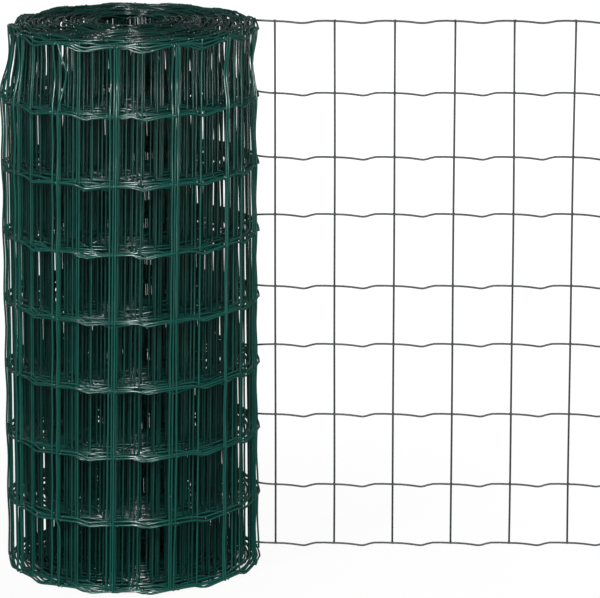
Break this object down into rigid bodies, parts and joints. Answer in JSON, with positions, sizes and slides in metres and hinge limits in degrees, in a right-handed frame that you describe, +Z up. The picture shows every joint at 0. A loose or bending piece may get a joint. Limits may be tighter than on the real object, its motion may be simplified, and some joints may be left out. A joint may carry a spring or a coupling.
{
  "type": "roll of wire fencing",
  "caption": "Standing roll of green coated welded wire mesh with crimped line wires, wound round an open core, its free end folded out flat at the side.",
  "frame": {"origin": "on the roll's axis, at the floor that the roll stands on", "axes": "+Z up along the roll's axis, +X along the flat free end, +Y to the back"},
  "size_m": [0.712, 0.2892, 0.6158],
  "materials": {
    "green_coating": "satin plastic coating over steel wire"
  },
  "bodies": {
    "root": {"roll": "green_coating", "free_end": "green_coating"}
  },
  "joints": []
}
